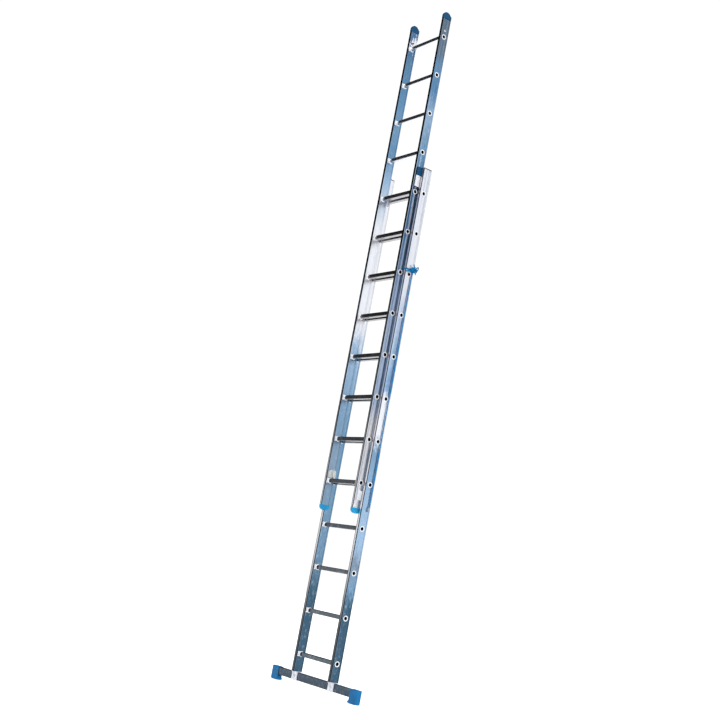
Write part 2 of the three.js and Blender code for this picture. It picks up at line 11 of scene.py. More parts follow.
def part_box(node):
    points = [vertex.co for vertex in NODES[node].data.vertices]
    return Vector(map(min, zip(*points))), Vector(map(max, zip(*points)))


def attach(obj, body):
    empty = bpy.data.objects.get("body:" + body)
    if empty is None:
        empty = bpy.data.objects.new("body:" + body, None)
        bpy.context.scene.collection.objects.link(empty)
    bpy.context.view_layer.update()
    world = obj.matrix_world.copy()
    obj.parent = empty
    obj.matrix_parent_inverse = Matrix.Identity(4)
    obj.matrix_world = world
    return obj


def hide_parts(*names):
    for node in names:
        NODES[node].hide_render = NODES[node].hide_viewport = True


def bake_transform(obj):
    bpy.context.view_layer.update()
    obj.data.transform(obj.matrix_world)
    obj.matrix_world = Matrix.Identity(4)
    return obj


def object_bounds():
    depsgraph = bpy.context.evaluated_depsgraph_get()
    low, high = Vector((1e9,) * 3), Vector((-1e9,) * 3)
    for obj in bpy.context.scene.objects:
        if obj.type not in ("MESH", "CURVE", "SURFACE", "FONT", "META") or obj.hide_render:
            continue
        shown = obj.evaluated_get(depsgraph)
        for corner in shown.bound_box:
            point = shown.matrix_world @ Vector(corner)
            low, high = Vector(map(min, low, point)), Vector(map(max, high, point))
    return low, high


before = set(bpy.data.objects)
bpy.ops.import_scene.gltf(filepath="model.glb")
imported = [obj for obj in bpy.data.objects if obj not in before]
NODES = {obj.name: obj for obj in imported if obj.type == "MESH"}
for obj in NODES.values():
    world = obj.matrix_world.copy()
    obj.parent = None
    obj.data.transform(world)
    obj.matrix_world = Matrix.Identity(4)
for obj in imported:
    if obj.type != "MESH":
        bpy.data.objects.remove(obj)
CAD_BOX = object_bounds()

MM = 0.001
TURN = 2 * math.pi
SIDES = ((1, "right"), (-1, "left"))


def middle_of(node):
    low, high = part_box(node)
    return (low + high) / 2


# ---- Places, from the frame ----
BASE_LO, BASE_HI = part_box("base_stile_right")
FLY_LO, FLY_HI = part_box("fly_stile_right")
BAR_LO, BAR_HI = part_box("stabiliser_bar")
TAIL_LO, TAIL_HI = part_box("rope_tail")
HAUL_LO, HAUL_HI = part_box("rope_haul")
GUIDE_LO, GUIDE_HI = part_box("guide_plate_right")
PULLEY = middle_of("pulley_wheel")
TOP_GUIDE = middle_of("top_guide_right")
TOP_FLY_RUNG = middle_of("fly_rung_12")
TOP_FLY_RUNG_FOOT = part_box("fly_rung_12")[0].z
TOP_BASE_RUNG = middle_of("base_rung_12")

# ---- Sizes shared with the CAD part ----
LIP_PROUD = 2 * MM  # from a stile's side face out to its front and back lips
LIP_DEEP = 7 * MM
GAP = 0.3 * MM  # between fitted pieces
RUNGS = 12


# ---- Camera: in front, to the climber's right, below the middle of the ladder, which leans ----
CAMERA_AT = Vector((6.2708, -4.43825, 0.6945))
CAMERA_AZIMUTH = math.radians(55.22)
CAMERA_ELEVATION = math.radians(10.575)
CAMERA_ROLL = math.radians(10.72)
CAMERA_SENSOR = 36
CAMERA_LENS = 59.32


def make_camera():
    """The camera of the photograph, as solved from the ends of the rungs."""
    data = bpy.data.cameras.new("camera")
    data.sensor_width = CAMERA_SENSOR
    data.lens = CAMERA_LENS
    camera = bpy.data.objects.new("camera", data)
    bpy.context.scene.collection.objects.link(camera)
    right = Vector((math.cos(CAMERA_AZIMUTH), math.sin(CAMERA_AZIMUTH), 0))
    level = Vector((-math.sin(CAMERA_AZIMUTH), math.cos(CAMERA_AZIMUTH), 0))
    ahead = level * math.cos(CAMERA_ELEVATION) + Vector((0, 0, math.sin(CAMERA_ELEVATION)))
    up = right.cross(ahead)
    rolled_right = right * math.cos(CAMERA_ROLL) + up * math.sin(CAMERA_ROLL)
    rolled_up = up * math.cos(CAMERA_ROLL) - right * math.sin(CAMERA_ROLL)
    turn = Matrix((rolled_right, rolled_up, -ahead)).transposed().to_4x4()
    camera.matrix_world = Matrix.Translation(CAMERA_AT) @ turn
    bpy.context.scene.camera = camera


make_camera()


# ---- Node trees ----
def colour_ramp(tree, value, stops):
    ramp = tree.nodes.new("ShaderNodeValToRGB")
    tree.links.new(value, ramp.inputs["Fac"])
    elements = ramp.color_ramp.elements
    while len(elements) < len(stops):
        elements.new(0.5)
    for element, (at, colour) in zip(elements, stops):
        element.position = at
        element.color = (*colour, 1)
    return ramp.outputs["Color"]


class Tree:
    """A material's node tree, written in short calls. Every pattern is in the part's metres."""

    def __init__(self, name):
        self.material = bpy.data.materials.new(name)
        self.material.use_nodes = True
        self.tree = self.material.node_tree
        self.tree.nodes.clear()
        self.shader = self.add("ShaderNodeBsdfPrincipled")
        output = self.add("ShaderNodeOutputMaterial")
        self.link(self.shader.outputs["BSDF"], output.inputs["Surface"])
        self.place = self.add("ShaderNodeTexCoord").outputs["Object"]

    def add(self, kind, **settings):
        node = self.tree.nodes.new(kind)
        for key, value in settings.items():
            setattr(node, key, value)
        return node

    def link(self, source, target):
        self.tree.links.new(source, target)

    def scaled(self, scale):
        mapping = self.add("ShaderNodeMapping")
        self.link(self.place, mapping.inputs["Vector"])
        mapping.inputs["Scale"].default_value = scale
        return mapping.outputs["Vector"]

    def noise(self, scale, detail=3, roughness=0.55, distortion=0):
        node = self.add("ShaderNodeTexNoise")
        self.link(self.scaled(scale), node.inputs["Vector"])
        node.inputs["Scale"].default_value = 1
        node.inputs["Detail"].default_value = detail
        node.inputs["Roughness"].default_value = roughness
        node.inputs["Distortion"].default_value = distortion
        return node.outputs["Fac"]

    def cells(self, scale):
        node = self.add("ShaderNodeTexVoronoi")
        self.link(self.scaled(scale), node.inputs["Vector"])
        node.inputs["Scale"].default_value = 1
        return node.outputs["Distance"]

    def ramp(self, value, stops):
        return colour_ramp(self.tree, value, stops)

    def span(self, value, low, high, out_low, out_high):
        node = self.add("ShaderNodeMapRange")
        self.link(value, node.inputs["Value"])
        for key, number in (
            ("From Min", low), ("From Max", high), ("To Min", out_low), ("To Max", out_high),
        ):
            node.inputs[key].default_value = number
        return node.outputs["Result"]

    def math(self, operation, a, b=0):
        node = self.add("ShaderNodeMath", operation=operation)
        for socket, value in zip(node.inputs, (a, b)):
            if isinstance(value, (int, float)):
                socket.default_value = value
            else:
                self.link(value, socket)
        return node.outputs[0]

    def mix(self, factor, a, b, blend="MIX"):
        node = self.add("ShaderNodeMix", data_type="RGBA", blend_type=blend)
        for socket, value in zip((node.inputs[0], node.inputs[6], node.inputs[7]), (factor, a, b)):
            if isinstance(value, (int, float)):
                socket.default_value = value
            elif isinstance(value, tuple):
                socket.default_value = (*value, 1)
            else:
                self.link(value, socket)
        return node.outputs[2]

    def axis(self, name):
        node = self.add("ShaderNodeSeparateXYZ")
        self.link(self.place, node.inputs[0])
        return node.outputs[name]

    def bump(self, height, distance, strength=1.0, below=None):
        node = self.add("ShaderNodeBump")
        self.link(height, node.inputs["Height"])
        node.inputs["Distance"].default_value = distance
        node.inputs["Strength"].default_value = strength
        if below is not None:
            self.link(below, node.inputs["Normal"])
        return node.outputs["Normal"]

    def finish(self, colour, roughness, metallic=0.0, normal=None, **constants):
        self.link(colour, self.shader.inputs["Base Color"])
        self.link(roughness, self.shader.inputs["Roughness"])
        self.shader.inputs["Metallic"].default_value = metallic
        if normal is not None:
            self.link(normal, self.shader.inputs["Normal"])
        for key, value in constants.items():
            self.shader.inputs[key.replace("_", " ")].default_value = value
        return self.material


def tinted(colour, gain):
    return tuple(min(1.0, channel * gain) for channel in colour)


def grey(value):
    return (value,) * 3


def by_height(stops, low, high):
    """Stops at heights in metres, moved to their shares of the height from low to high."""
    return [((height - low) / (high - low), colour) for height, colour in stops]


BLOOM = (0.66, 0.76, 0.88)
WORN = (0.1, 0.2, 0.33)


def painted_reflections_and_wear(tree, stops, low, high, grain):
    """A tone that runs along the height, painted to stand in for reflected light and shade, with
    extrusion lines, cloudy oxide, blotches and dings.
    """
    along = tree.span(tree.axis("Z"), low, high, 0, 1)
    clouds = tree.noise((11, 11, 2.6), 5, 0.62)
    blotch = tree.noise((60, 60, 34), 6, 0.72)
    lines = tree.noise(grain, 4, 0.7)
    ragged = tree.math("ADD", clouds, blotch)
    wander = tree.math("ADD", along, tree.span(ragged, 0.7, 1.3, -0.03, 0.03))
    # The tone by height is painted reflection: light and shade put into the colour.
    tone = tree.ramp(wander, by_height(stops, low, high))
    drawn = tree.ramp(lines, [(0.3, grey(0.75)), (0.7, grey(1.0))])
    tone = tree.mix(0.5, tone, drawn, "MULTIPLY")
    dings = tree.ramp(tree.cells((55, 55, 22)), [(0.0, grey(0.7)), (0.12, grey(1.0))])
    tone = tree.mix(0.35, tone, dings, "MULTIPLY")
    bloom = tree.mix(0.3, tone, BLOOM)
    tone = tree.mix(tree.span(blotch, 0.54, 0.68, 0, 0.7), tone, bloom)
    worn = tree.mix(0.5, tone, WORN)
    tone = tree.mix(tree.span(blotch, 0.44, 0.30, 0, 0.45), tone, worn)
    return tone, lines, clouds


def drawn_finish(tree, tone, lines, clouds, rough=(0.24, 0.40), metallic=0.94):
    """Extrusion lines and slow waves in the surface, under a tone that is already mixed."""
    roughness = tree.span(tree.math("ADD", lines, clouds), 0.7, 1.3, *rough)
    normal = tree.bump(lines, 0.12 * MM, 0.7)
    normal = tree.bump(clouds, 0.5 * MM, 0.25, normal)
    return tree.finish(tone, roughness, metallic, normal)


def extruded(name, stops, low, high, rough, metallic):
    """Drawn aluminium of a rung or of the bar."""
    tree = Tree(name)
    return drawn_finish(tree, *painted_reflections_and_wear(tree, stops, low, high, CROSSWISE), rough, metallic)


# Between these heights the stiles carry painted reflection streaks, dark ones painted shade and pale ones
# painted highlight. Beyond them the streaks fade.
STREAKS_FROM = 1.7
STREAKS_TO = 3.35
STREAK_FADE_BELOW = 0.5
STREAK_FADE_ABOVE = 0.3
# Colours of the painted shade streaks and the painted highlight streaks.
PAINTED_SHADE_STREAK = (0.03, 0.08, 0.20)
PAINTED_HIGHLIGHT_STREAK = (0.80, 0.86, 0.94)
# Colour of a painted highlight beside the front lip, and its fade.
LIP_PAINTED_HIGHLIGHT = (0.62, 0.73, 0.88)
LIP_FADE = 2.5 * MM
# Painted shade along the corners of the stiles' front and back edges, and its width.
CORNER_PAINTED_SHADE = (0.006, 0.007, 0.010)
CORNER_WIDE = 4.5 * MM
EDGE_FRONT_DEEP = 4.0 * MM
EDGE_BACK_DEEP = 0.9 * MM


def stile_metal(name, low, high, stops, edge_painted_light_stops, streak):
    """Drawn aluminium of a stile: painted reflection streaks along it, dark ones painted shade and pale
    ones painted highlight, a painted highlight beside its front lip, and front and back edges of their
    own painted reflection tone in the middle and painted shade along the corners."""
    tree = Tree(name)
    tone, lines, clouds = painted_reflections_and_wear(tree, stops, low.z, high.z, LENGTHWISE)
    # The streaks and their band of heights are painted reflection: dark streaks are painted shade, pale
    # streaks painted highlight.
    scuffs_and_painted_streaks = tree.noise((150, 95, 1.1), 4, 0.6)
    height = tree.axis("Z")
    depth = tree.axis("Y")
    rubbed = tree.math(
        "MINIMUM", tree.span(height, STREAKS_FROM, STREAKS_FROM + STREAK_FADE_BELOW, 0.15, 1),
        tree.span(height, STREAKS_TO, STREAKS_TO + STREAK_FADE_ABOVE, 1, 0.2),
    )
    painted_shade_streaks = tree.math("MULTIPLY", tree.span(scuffs_and_painted_streaks, 0.49, 0.38, 0, streak), rubbed)
    painted_highlight_streaks = tree.math("MULTIPLY", tree.span(scuffs_and_painted_streaks, 0.53, 0.62, 0, streak * 0.8), rubbed)
    tone = tree.mix(painted_shade_streaks, tone, PAINTED_SHADE_STREAK)
    tone = tree.mix(painted_highlight_streaks, tone, PAINTED_HIGHLIGHT_STREAK)
    # A painted highlight on the side face beside the front lip.
    lip_back = low.y + LIP_DEEP + LIP_FADE
    lip_highlight = tree.span(depth, lip_back, lip_back - MM, 0, 0.6)
    tone = tree.mix(tree.math("MULTIPLY", lip_highlight, rubbed), tone, LIP_PAINTED_HIGHLIGHT)
    # The front and back edges take a painted reflection tone by height, with painted shade along their
    # corners.
    along = tree.span(height, low.z, high.z, 0, 1)
    edge_painted_light = tree.ramp(along, by_height(edge_painted_light_stops, low.z, high.z))
    grained_edge_light = tree.mix(0.3, edge_painted_light, lines, "MULTIPLY")
    middle_x = (low.x + high.x) / 2
    half_x = (high.x - low.x) / 2
    off_x = tree.math("ABSOLUTE", tree.math("SUBTRACT", tree.math("ABSOLUTE", tree.axis("X")), middle_x))
    # Painted shade along the edges' corners.
    corner = tree.span(off_x, half_x - CORNER_WIDE, half_x - CORNER_WIDE + MM, 0, 1)
    edge_painted_light = tree.mix(corner, grained_edge_light, CORNER_PAINTED_SHADE)
    front = tree.span(depth, low.y + EDGE_FRONT_DEEP, low.y + EDGE_FRONT_DEEP - 0.6 * MM, 0, 1)
    back = tree.span(depth, high.y - EDGE_BACK_DEEP, high.y - EDGE_BACK_DEEP + 0.4 * MM, 0, 1)
    tone = tree.mix(tree.math("MAXIMUM", front, back), tone, edge_painted_light)
    return drawn_finish(tree, tone, lines, clouds)


def cast(name, colour, grain=1400):
    """Sand-cast and tumbled alloy, with a faint orange peel and darker hollows."""
    tree = Tree(name)
    peel = tree.noise((grain, grain, grain), 4, 0.6)
    cloud = tree.noise((26, 26, 26), 4, 0.6)
    tone = tree.mix(
        0.55, colour, tree.ramp(cloud, [(0.28, tinted(colour, 0.72)), (0.7, tinted(colour, 1.08))])
    )
    tone = tree.mix(0.3, tone, tree.ramp(peel, [(0.3, grey(0.75)), (0.7, grey(1.0))]), "MULTIPLY")
    return tree.finish(
        tone, tree.span(peel, 0.3, 0.7, 0.34, 0.52), 0.55, tree.bump(peel, 0.15 * MM, 0.6)
    )


def zinc(name, colour):
    """Bright zinc plate with a faint spangle and fine scratches."""
    tree = Tree(name)
    spangle = tree.cells((160, 160, 160))
    scratch = tree.noise((60, 900, 420), 4, 0.7)
    crystals = tree.ramp(spangle, [(0.1, tinted(colour, 0.7)), (0.8, tinted(colour, 1.15))])
    tone = tree.mix(0.5, colour, crystals)
    tone = tree.mix(0.35, tone, tree.ramp(scratch, [(0.35, grey(0.7)), (0.6, grey(1.0))]), "MULTIPLY")
    return tree.finish(
        tone, tree.span(scratch, 0.3, 0.7, 0.26, 0.48), 0.85, tree.bump(scratch, 0.08 * MM, 0.5)
    )


def moulded(name, colour, rough=(0.36, 0.52), scuff=0.25):
    """Injection-moulded plastic: spark-eroded texture, slow colour drift and pale scuffs."""
    tree = Tree(name)
    texture = tree.noise((2600, 2600, 2600), 3, 0.5)
    drift = tree.noise((14, 14, 14), 3, 0.5)
    scuffs_and_painted_streaks = tree.noise((70, 120, 240), 6, 0.75, 1.2)
    tone = tree.ramp(drift, [(0.3, tinted(colour, 0.86)), (0.7, tinted(colour, 1.12))])
    pale = tuple(channel * 0.8 + 0.08 for channel in colour)
    rubbed = tree.math("MULTIPLY", tree.span(scuffs_and_painted_streaks, 0.58, 0.72, 0, 1), scuff)
    tone = tree.mix(rubbed, tone, pale)
    matt = tree.math("MULTIPLY", rubbed, 0.3)
    roughness = tree.math("ADD", tree.span(texture, 0.3, 0.7, *rough), matt)
    return tree.finish(
        tone, roughness, 0.0, tree.bump(texture, 0.09 * MM, 0.6), IOR=1.45,
        Specular_IOR_Level=0.22,
    )


def fibrous(name, colour, fleck):
    """Polypropylene rope: fine fibres, with paler flecks where they are rubbed."""
    tree = Tree(name)
    fibre = tree.noise((1500, 1500, 500), 5, 0.7)
    worn = tree.noise((90, 90, 60), 4, 0.65)
    tone = tree.ramp(fibre, [(0.3, tinted(colour, 0.6)), (0.55, colour), (0.75, fleck)])
    tone = tree.mix(tree.span(worn, 0.55, 0.7, 0, 0.45), tone, fleck)
    return tree.finish(
        tone, tree.span(fibre, 0.3, 0.7, 0.6, 0.85), 0.0, tree.bump(fibre, 0.25 * MM, 0.8),
        Specular_IOR_Level=0.15,
    )


# Tones of the stiles by height in metres, painted reflections that stand in for light and shade on the
# metal: slate blue near the floor, bright in the middle, blue at the top.
SLATE = (0.042, 0.096, 0.150)
STEEL_BLUE = (0.17, 0.31, 0.46)
MID_BLUE = (0.12, 0.26, 0.44)
DEEP_BLUE = (0.075, 0.17, 0.31)
PALE_BLUE = (0.33, 0.48, 0.66)
BRIGHT = (0.74, 0.75, 0.81)
WHITE = (0.86, 0.86, 0.90)
DUSK = (0.11, 0.16, 0.22)

BASE_RIGHT_PAINTED_LIGHT = [
    (0.10, SLATE), (0.52, SLATE), (0.66, STEEL_BLUE), (0.80, (0.20, 0.26, 0.34)), (0.95, PALE_BLUE),
    (1.20, PALE_BLUE), (1.52, (0.20, 0.34, 0.50)), (1.66, WHITE), (1.88, WHITE),
    (1.96, (0.18, 0.33, 0.55)), (2.15, PALE_BLUE), (2.40, (0.50, 0.58, 0.74)), (2.62, BRIGHT),
    (3.43, BRIGHT),
]
BASE_LEFT_PAINTED_LIGHT = [
    (0.10, SLATE), (0.56, SLATE), (0.85, (0.15, 0.26, 0.38)), (1.30, STEEL_BLUE),
    (1.70, STEEL_BLUE), (2.10, PALE_BLUE), (2.40, WHITE), (3.43, WHITE),
]
FLY_RIGHT_PAINTED_LIGHT = [
    (1.16, WHITE), (1.72, WHITE), (1.82, (0.50, 0.64, 0.84)), (2.60, (0.44, 0.58, 0.80)),
    (2.78, (0.18, 0.30, 0.50)), (2.92, MID_BLUE), (3.10, DEEP_BLUE), (3.45, (0.09, 0.21, 0.37)),
    (3.60, STEEL_BLUE), (3.86, (0.30, 0.43, 0.60)), (4.00, (0.09, 0.22, 0.40)), (4.16, MID_BLUE),
    (4.30, DUSK), (4.50, DUSK),
]
FLY_LEFT_PAINTED_LIGHT = [
    (1.16, (0.18, 0.30, 0.42)), (1.45, (0.24, 0.33, 0.44)), (1.75, (0.20, 0.33, 0.48)),
    (2.24, PALE_BLUE), (2.38, WHITE), (3.06, WHITE), (3.40, PALE_BLUE), (3.60, MID_BLUE),
    (3.80, STEEL_BLUE), (4.00, MID_BLUE), (4.30, (0.10, 0.22, 0.36)), (4.405, DEEP_BLUE),
    (4.435, DEEP_BLUE), (4.442, WHITE), (4.50, WHITE), (4.51, DEEP_BLUE),
]
# Tones of the stiles' front and back edges by height in metres: painted reflections.
BASE_EDGE_PAINTED_LIGHT = [
    (0.10, (0.05, 0.06, 0.07)), (0.42, (0.10, 0.11, 0.12)), (0.58, (0.25, 0.26, 0.27)),
    (0.89, (0.80, 0.81, 0.83)), (1.05, (1.0, 1.0, 1.0)), (1.80, (0.80, 0.76, 0.78)),
    (3.40, (0.66, 0.62, 0.66)),
]
FLY_EDGE_PAINTED_LIGHT = [
    (1.16, (0.95, 0.95, 0.97)), (1.45, (0.70, 0.70, 0.72)), (1.75, (0.30, 0.29, 0.31)),
    (2.60, (0.15, 0.14, 0.15)), (3.00, (0.05, 0.05, 0.06)), (4.40, (0.04, 0.045, 0.06)),
]
# Tones of the rungs by height in metres: painted reflections, dark near the floor and pale at the top.
RUNG_PAINTED_LIGHT = [
    (0.0, (0.075, 0.095, 0.11)), (1.0, (0.11, 0.12, 0.13)), (1.7, (0.16, 0.16, 0.165)),
    (2.6, (0.25, 0.24, 0.24)), (3.35, (0.36, 0.35, 0.36)), (3.55, (0.66, 0.67, 0.70)),
    (4.6, (0.72, 0.73, 0.76)),
]
BAR_TONES = [(BAR_LO.z, (0.04, 0.065, 0.09)), (BAR_HI.z, (0.06, 0.09, 0.125))]

# The extrusion lines' scales, for lines along Z and along X.
LENGTHWISE = (1600, 1600, 5)
CROSSWISE = (5, 1600, 1600)

STILE_METALS = {
    "base_right": stile_metal("base_aluminium", BASE_LO, BASE_HI, BASE_RIGHT_PAINTED_LIGHT, BASE_EDGE_PAINTED_LIGHT, 0.25),
    "base_left": stile_metal("base_aluminium_left", BASE_LO, BASE_HI, BASE_LEFT_PAINTED_LIGHT, BASE_EDGE_PAINTED_LIGHT, 0.15),
    "fly_right": stile_metal("fly_aluminium", FLY_LO, FLY_HI, FLY_RIGHT_PAINTED_LIGHT, FLY_EDGE_PAINTED_LIGHT, 0.9),
    "fly_left": stile_metal("fly_aluminium_left", FLY_LO, FLY_HI, FLY_LEFT_PAINTED_LIGHT, FLY_EDGE_PAINTED_LIGHT, 0.1),
}
RUNG_METAL = extruded("rung_aluminium", RUNG_PAINTED_LIGHT, 0, CAD_BOX[1][2], (0.15, 0.26), 0.98)
BAR_METAL = extruded("bar_aluminium", BAR_TONES, BAR_LO.z, BAR_HI.z, (0.36, 0.5), 0.7)
RING_METAL = cast("swaged_aluminium", (0.86, 0.86, 0.88), 900)
CAST_METAL = cast("cast_aluminium", (0.84, 0.84, 0.89))
CLEAT_METAL = cast("cleat_aluminium", (0.26, 0.34, 0.44))
ZINC = zinc("zinc_steel", (0.60, 0.62, 0.62))
DARK_STEEL = zinc("dark_steel", (0.06, 0.07, 0.08))
FOOT_BLUE = moulded("foot_plastic", (0.0, 0.13, 0.33))
SHOE_BLUE = moulded("shoe_plastic", (0.01, 0.27, 0.52))
CAP_BLUE = moulded("cap_plastic", (0.0, 0.055, 0.135))
PALE_NYLON = moulded("guide_nylon", (0.62, 0.64, 0.68), (0.4, 0.58), 0.1)
DARK_PLASTIC = moulded("dark_plastic", (0.012, 0.016, 0.024), (0.4, 0.58), 0.15)
ROPE_BLUE = fibrous("rope", (0.0, 0.15, 0.36), (0.004, 0.28, 0.52))
# Near black inside the rungs' bores: painted shade.
BORE_PAINTED_SHADE = cast("bore_painted_shade", (0.012, 0.013, 0.016))


# ---- Meshes ----
def new_piece(name, mesh, material, body, smooth=35):
    """A mesh as a piece of the ladder: shaded smooth up to an angle, riding on a body if one is
    given."""
    mesh.set_sharp_from_angle(angle=math.radians(smooth))
    mesh.polygons.foreach_set("use_smooth", [True] * len(mesh.polygons))
    piece = bpy.data.objects.new(name, mesh)
    bpy.context.scene.collection.objects.link(piece)
    piece.data.materials.clear()
    piece.data.materials.append(material)
    if body:
        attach(piece, body)
    return piece


def mesh_of(name, points, faces):
    mesh = bpy.data.meshes.new(name)
    mesh.from_pydata([tuple(point) for point in points], [], faces)
    mesh.update()
    return mesh


def bm_mesh(name, bm):
    bmesh.ops.recalc_face_normals(bm, faces=bm.faces)
    mesh = bpy.data.meshes.new(name)
    bm.to_mesh(mesh)
    bm.free()
    return mesh


def rings_mesh(name, rings, closed=False):
    """Skins rings of equal count. An open run of rings gets flat ends."""
    count = len(rings[0])
    points = [point for ring in rings for point in ring]
    last = len(rings) if closed else len(rings) - 1
    faces = []
    for row in range(last):
        here = row * count
        there = ((row + 1) % len(rings)) * count
        for i in range(count):
            j = (i + 1) % count
            faces.append((here + i, here + j, there + j, there + i))
    if not closed:
        faces.append(tuple(reversed(range(count))))
        faces.append(tuple(range((len(rings) - 1) * count, len(rings) * count)))
    bm = bmesh.new()
    raw = mesh_of("raw", points, faces)
    bm.from_mesh(raw)
    bpy.data.meshes.remove(raw)
    return bm_mesh(name, bm)


def joined(name, *meshes):
    bm = bmesh.new()
    for mesh in meshes:
        bm.from_mesh(mesh)
        bpy.data.meshes.remove(mesh)
    mesh = bpy.data.meshes.new(name)
    bm.to_mesh(mesh)
    bm.free()
    return mesh


def arc(centre_a, centre_b, radius, start, stop, steps):
    """Points round an arc, in degrees."""
    angles = [math.radians(start + (stop - start) * i / steps) for i in range(steps + 1)]
    return [(centre_a + radius * math.cos(a), centre_b + radius * math.sin(a)) for a in angles]


# Where a point (a, b) of an outline goes when the outline is run along an axis.
AXES = {
    "x": lambda a, b, run: (run, a, b),
    "y": lambda a, b, run: (a, run, b),
}
SHARP_EDGE = 24


def prism(name, outline, axis, low, high, bevel, segments=3):
    """An outline run along an axis, its edges rounded."""
    bm = bmesh.new()
    place = AXES[axis]
    ends = [[bm.verts.new(place(a, b, run)) for a, b in outline] for run in (low, high)]
    for end in ends:
        bm.faces.new(end)
    count = len(outline)
    for i in range(count):
        j = (i + 1) % count
        bm.faces.new((ends[0][i], ends[0][j], ends[1][j], ends[1][i]))
    bmesh.ops.recalc_face_normals(bm, faces=bm.faces)
    sharp = [edge for edge in bm.edges if edge.calc_face_angle(0) > math.radians(SHARP_EDGE)]
    bmesh.ops.bevel(
        bm, geom=sharp, offset=bevel, segments=segments, profile=0.5, affect="EDGES",
        clamp_overlap=True,
    )
    return bm_mesh(name, bm)


def rectangle(a0, a1, b0, b1):
    return [(a0, b0), (a1, b0), (a1, b1), (a0, b1)]


def turned(name, profile, axis, centre, steps):
    """An open profile of (radius, along) turned about an axis through a point."""
    place = AXES[axis]
    rings = []
    for radius, along in profile:
        ring = []
        for i in range(steps):
            angle = TURN * i / steps
            point = Vector(place(radius * math.cos(angle), radius * math.sin(angle), along))
            ring.append(point + centre)
        rings.append(ring)
    return rings_mesh(name, rings)


RIVET_SUNK = 0.6 * MM
RIVET_RIM = 0.25  # share of the height that is the straight rim
RIVET_DOME = 0.86  # the dome's radius to the rim's
RIVET_RINGS = 6
RIVET_SIDES = 18


def rivet(centre, axis, facing, radius, tall):
    """A domed rivet head with a small flange, standing out along an axis."""
    profile = [(radius, -RIVET_SUNK), (radius, RIVET_RIM * tall)]
    for i in range(1, RIVET_RINGS):
        angle = math.radians(90 * i / RIVET_RINGS)
        up = RIVET_RIM + (1 - RIVET_RIM) * math.sin(angle)
        profile.append((radius * RIVET_DOME * math.cos(angle), tall * up))
    profile.append((radius * 0.06, tall))
    return turned("rivet", [(r, facing * along) for r, along in profile], axis, centre, RIVET_SIDES)


def mirrored(mesh, side):
    """The mesh itself for the right-hand side, or its mirror image for the left."""
    if side < 0:
        mesh.transform(Matrix.Scale(-1, 4, (1, 0, 0)))
        mesh.flip_normals()
    return mesh


# ---- Rope: three strands laid together ----
ROPE_D = 7.6 * MM
STRANDS = 3
LAY_LENGTH = 27 * MM
ROPE_STEP = 2.6 * MM
ROPE_SIDES = 18
LOBE_VALLEY = 0.72
LOBE_RISE = 0.32
LOBE_SHARPNESS = 0.8


def smooth_path(points, step):
    """Evenly spaced points along the Catmull-Rom curve through the points given."""
    points = [Vector(point) for point in points]
    ends = [points[0] * 2 - points[1], *points, points[-1] * 2 - points[-2]]
    dense = []
    for a, b, c, d in zip(ends, ends[1:], ends[2:], ends[3:]):
        pieces = max(2, math.ceil((c - b).length / (step / 2)))
        for i in range(pieces):
            t = i / pieces
            dense.append(
                0.5 * ((2 * b) + (c - a) * t + (2 * a - 5 * b + 4 * c - d) * t ** 2
                       + (3 * b - a - 3 * c + d) * t ** 3)
            )
    dense.append(points[-1])
    lengths = [0.0]
    for a, b in zip(dense, dense[1:]):
        lengths.append(lengths[-1] + (b - a).length)
    count = max(2, round(lengths[-1] / step))
    path = []
    i = 0
    for k in range(count + 1):
        want = lengths[-1] * k / count
        while i < len(dense) - 2 and lengths[i + 1] < want:
            i += 1
        share = (want - lengths[i]) / max(lengths[i + 1] - lengths[i], 1e-9)
        path.append(dense[i].lerp(dense[i + 1], min(1.0, share)))
    return path


def rope_mesh(name, path, taper=None):
    """A laid rope along a path: a lobed section that turns as it goes."""
    rings = []
    side = None
    along = 0.0
    for i, point in enumerate(path):
        ahead = (path[min(i + 1, len(path) - 1)] - path[max(i - 1, 0)]).normalized()
        if side is None:
            side = ahead.orthogonal().normalized()
        side = (side - ahead * side.dot(ahead)).normalized()
        other = ahead.cross(side)
        if i:
            along += (point - path[i - 1]).length
        twist = TURN * along / LAY_LENGTH
        size = taper[i] if taper else 1.0
        ring = []
        for k in range(ROPE_SIDES):
            angle = TURN * k / ROPE_SIDES
            lobe = abs(math.cos(STRANDS * (angle - twist) / 2)) ** LOBE_SHARPNESS
            radius = size * ROPE_D / 2 * (LOBE_VALLEY + LOBE_RISE * lobe)
            ring.append(point + side * (radius * math.cos(angle)) + other * (radius * math.sin(angle)))
        rings.append(ring)
    return rings_mesh(name, rings)


def millimetres(*points):
    return [Vector(point) * MM for point in points]


ROPE_X = PULLEY.x
PULLEY_PITCH_R = 25 * MM


def rope_haul():
    """From the fly's anchor up to the pulley: it changes length as the fly slides."""
    y = (HAUL_LO.y + HAUL_HI.y) / 2
    ends = [Vector((ROPE_X, y, HAUL_LO.z)), Vector((ROPE_X, y, HAUL_HI.z))]
    path = smooth_path(ends, ROPE_STEP)
    piece = new_piece("rope_haul_laid", rope_mesh("rope_haul_laid", path), ROPE_BLUE, None, 60)
    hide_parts("rope_haul")
    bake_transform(piece)


def rope_fall():
    """Over the pulley, down behind the base rungs and out behind the right-hand stile."""
    over = [(ROPE_X, y, z) for y, z in arc(PULLEY.y, PULLEY.z + GAP, PULLEY_PITCH_R, 180, 0, 8)]
    down = millimetres((145, 49.5, 3180), (145, 49.5, 3060), (145, 49.5, 2950))
    out = millimetres((150, 56, 2880), (168, 66, 2820), (195, 69, 2775), (214, 69, 2757))
    path = smooth_path([*over, *down, *out], ROPE_STEP)
    piece = new_piece("rope_fall_laid", rope_mesh("rope_fall_laid", path), ROPE_BLUE, "base", 60)
    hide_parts("rope_fall")


